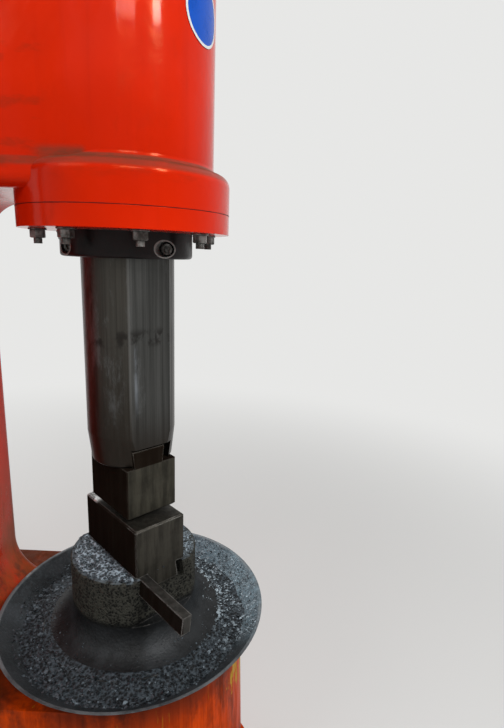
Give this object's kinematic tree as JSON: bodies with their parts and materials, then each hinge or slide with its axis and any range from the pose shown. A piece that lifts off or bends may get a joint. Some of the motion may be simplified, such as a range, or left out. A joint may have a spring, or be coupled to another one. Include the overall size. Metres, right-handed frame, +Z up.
{
  "type": "pneumatic forging hammer",
  "caption": "Self-contained air forging hammer: a C-shaped cast frame carries a guided ram that strikes an anvil block in a scale tray, with its own crank-driven compressor and motor behind.",
  "frame": {"origin": "floor level, straight below the ram's axis", "axes": "+X forward, away from the column; +Y to the machine's left, the lever being on the -Y side; +Z up"},
  "size_m": [2.108, 0.7789, 2.205],
  "materials": {
    "body_paint": "gloss machine enamel, greasy and worn",
    "base_paint": "orange-red brush-painted enamel, stained",
    "scaled_steel": "dark scaled steel with worn bright edges",
    "die_steel": "dark forged steel with rubbed bright edges",
    "key_steel": "dark oily steel",
    "ram_steel": "dark oiled steel, streaked along its travel",
    "black_steel": "black, oily",
    "screw_steel": "plain steel",
    "grey_iron": "turned iron",
    "belt_rubber": "matt",
    "motor_paint": "grey enamel"
  },
  "bodies": {
    "machine": {"base": "base_paint", "anvil": "scaled_steel", "scale_tray": "scaled_steel", "lower_die": "die_steel", "lower_key": "key_steel", "lower_packing": "key_steel", "gland_near": "black_steel", "gland_far": "black_steel", "gland_screws": "screw_steel", "ram_guide": "body_paint", "guide_studs": "screw_steel", "work_cylinder": "body_paint", "cylinder_head": "body_paint", "frame": "body_paint", "compressor_head": "body_paint", "upper_valve_near": "body_paint", "lower_valve_near": "body_paint", "upper_valve_far": "body_paint", "lower_valve_far": "body_paint", "control_lever": "black_steel", "link_rod": "black_steel", "treadle": "black_steel", "treadle_brackets": "black_steel", "crank_door_near": "body_paint", "crank_door_far": "body_paint", "bearing_cap": "body_paint", "crankshaft": "screw_steel", "flywheel": "grey_iron", "belts": "belt_rubber", "motor_pulley": "grey_iron", "motor": "motor_paint", "terminal_box": "motor_paint", "motor_rails": "black_steel", "belt_guard": "body_paint", "lifting_eyes": "black_steel"},
    "ram": {"ram": "ram_steel", "upper_die": "die_steel", "upper_key": "key_steel"}
  },
  "joints": [
    {"name": "ram_slide", "type": "slide", "parent": "machine", "child": "ram", "axis": [0, 0, 1], "range_m": [-0.006, 0.35]}
  ]
}
